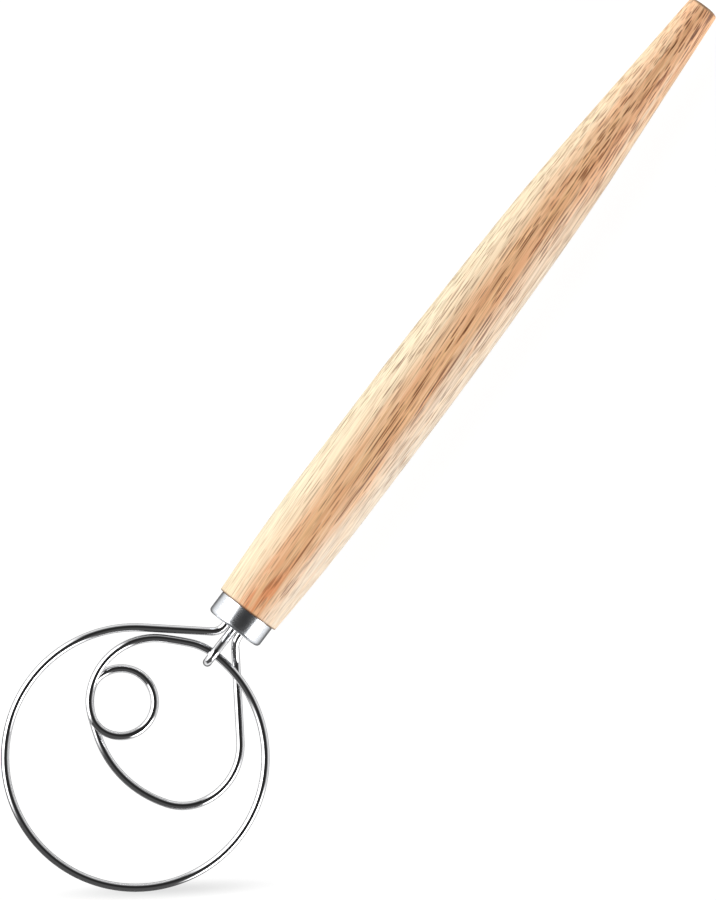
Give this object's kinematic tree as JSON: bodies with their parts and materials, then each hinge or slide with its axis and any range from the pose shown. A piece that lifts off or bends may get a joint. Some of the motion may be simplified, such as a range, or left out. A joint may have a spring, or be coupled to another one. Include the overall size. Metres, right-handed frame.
{
  "type": "dough whisk",
  "caption": "Hand dough whisk: a long turned wooden handle, a short steel ferrule and one steel wire bent into nested flat loops, held by a hooked centre stay.",
  "frame": {"origin": "on the axis of the handle, at the middle of the ferrule's length", "axes": "+X along the handle's axis towards the wire loops, +Z square to the flat of the loops, out of the face where the stay passes over the wire, +Y completes the right-handed set"},
  "size_m": [0.3431, 0.0856, 0.0248],
  "materials": {
    "handle_wood": "fine-grained pale hardwood with a pinkish-brown heart, sanded smooth, thin oil finish",
    "ferrule_steel": "drawn stainless steel, bright with fine turned lines",
    "wire_steel": "drawn stainless steel wire, polished bright",
    "stay_steel": "drawn stainless steel rod, polished bright",
    "socket_adhesive": "cured epoxy, dull"
  },
  "bodies": {
    "root": {"handle": "handle_wood", "ferrule": "ferrule_steel", "whisk_wire": "wire_steel", "center_stay": "stay_steel", "socket_adhesive": "socket_adhesive"}
  },
  "joints": []
}
